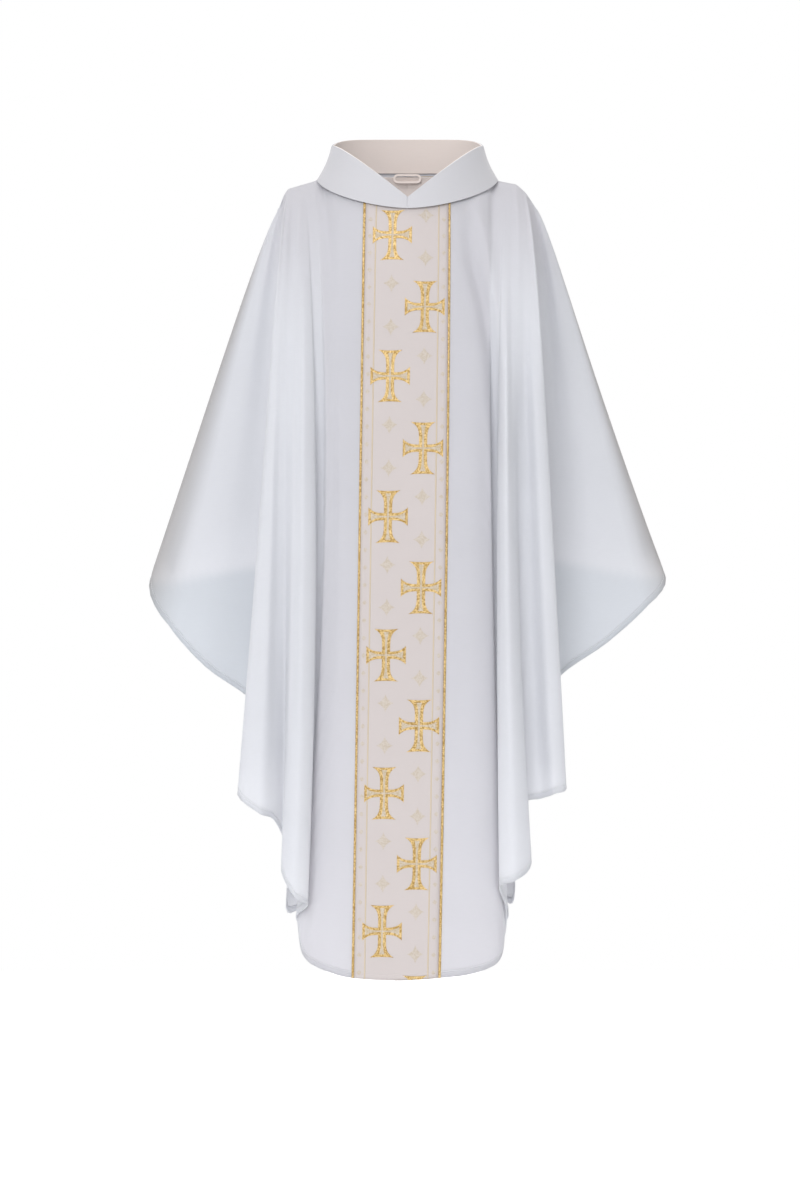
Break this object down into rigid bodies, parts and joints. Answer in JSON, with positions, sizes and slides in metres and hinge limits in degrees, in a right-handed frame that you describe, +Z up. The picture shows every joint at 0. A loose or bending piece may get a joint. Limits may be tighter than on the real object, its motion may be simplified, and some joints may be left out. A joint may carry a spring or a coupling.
{
  "type": "chasuble",
  "caption": "White sleeveless church vestment hanging in soft folds, with a standing collar, wide side wings and a woven band of gold crosses down the middle.",
  "frame": {"origin": "middle of the neck opening at shoulder height, where the wearer's shoulders hold the garment", "axes": "+Z up, the front faces -Y, +X is the wearer's left"},
  "size_m": [0.826, 0.364, 1.359],
  "materials": {
    "body_cloth": "matt fine plain weave, cool white",
    "collar_cloth": "crisp interfaced plain weave, cool white",
    "collar_lining": "matt warm white facing",
    "orphrey": "ivory jacquard galloon with woven crosses and stars",
    "gold_braid": "twisted metallic gold thread",
    "white_tape": "plain woven tape"
  },
  "bodies": {
    "torso": {"front_panel_right": "body_cloth", "front_hem_right": "body_cloth", "front_braid_right": "gold_braid", "front_panel_left": "body_cloth", "front_hem_left": "body_cloth", "front_braid_left": "gold_braid", "front_orphrey": "orphrey", "front_neck_facing": "body_cloth", "back_panel_right": "body_cloth", "back_hem_right": "body_cloth", "back_braid_right": "gold_braid", "back_panel_left": "body_cloth", "back_hem_left": "body_cloth", "back_braid_left": "gold_braid", "back_orphrey": "orphrey", "back_neck_facing": "body_cloth", "blank_label": "white_tape", "hanging_loop": "white_tape", "shoulder_stay_right": "white_tape", "shoulder_stay_left": "white_tape", "collar_outer": "collar_cloth", "collar_interfacing": "white_tape", "collar_lining": "collar_lining"},
    "right_wing": {"front_wing_right": "body_cloth", "front_wing_hem_right": "body_cloth", "back_wing_right": "body_cloth", "back_wing_hem_right": "body_cloth", "wing_seam_tape_right": "body_cloth"},
    "left_wing": {"front_wing_left": "body_cloth", "front_wing_hem_left": "body_cloth", "back_wing_left": "body_cloth", "back_wing_hem_left": "body_cloth", "wing_seam_tape_left": "body_cloth"}
  },
  "joints": [
    {"name": "right_wing_lift", "type": "hinge", "parent": "torso", "child": "right_wing", "pos_m": [-0.196, 0, -0.024], "axis": [0, 1, 0], "range_deg": [0, 40]},
    {"name": "left_wing_lift", "type": "hinge", "parent": "torso", "child": "left_wing", "pos_m": [0.193, 0, -0.026], "axis": [0, -1, 0], "range_deg": [0, 40]}
  ]
}
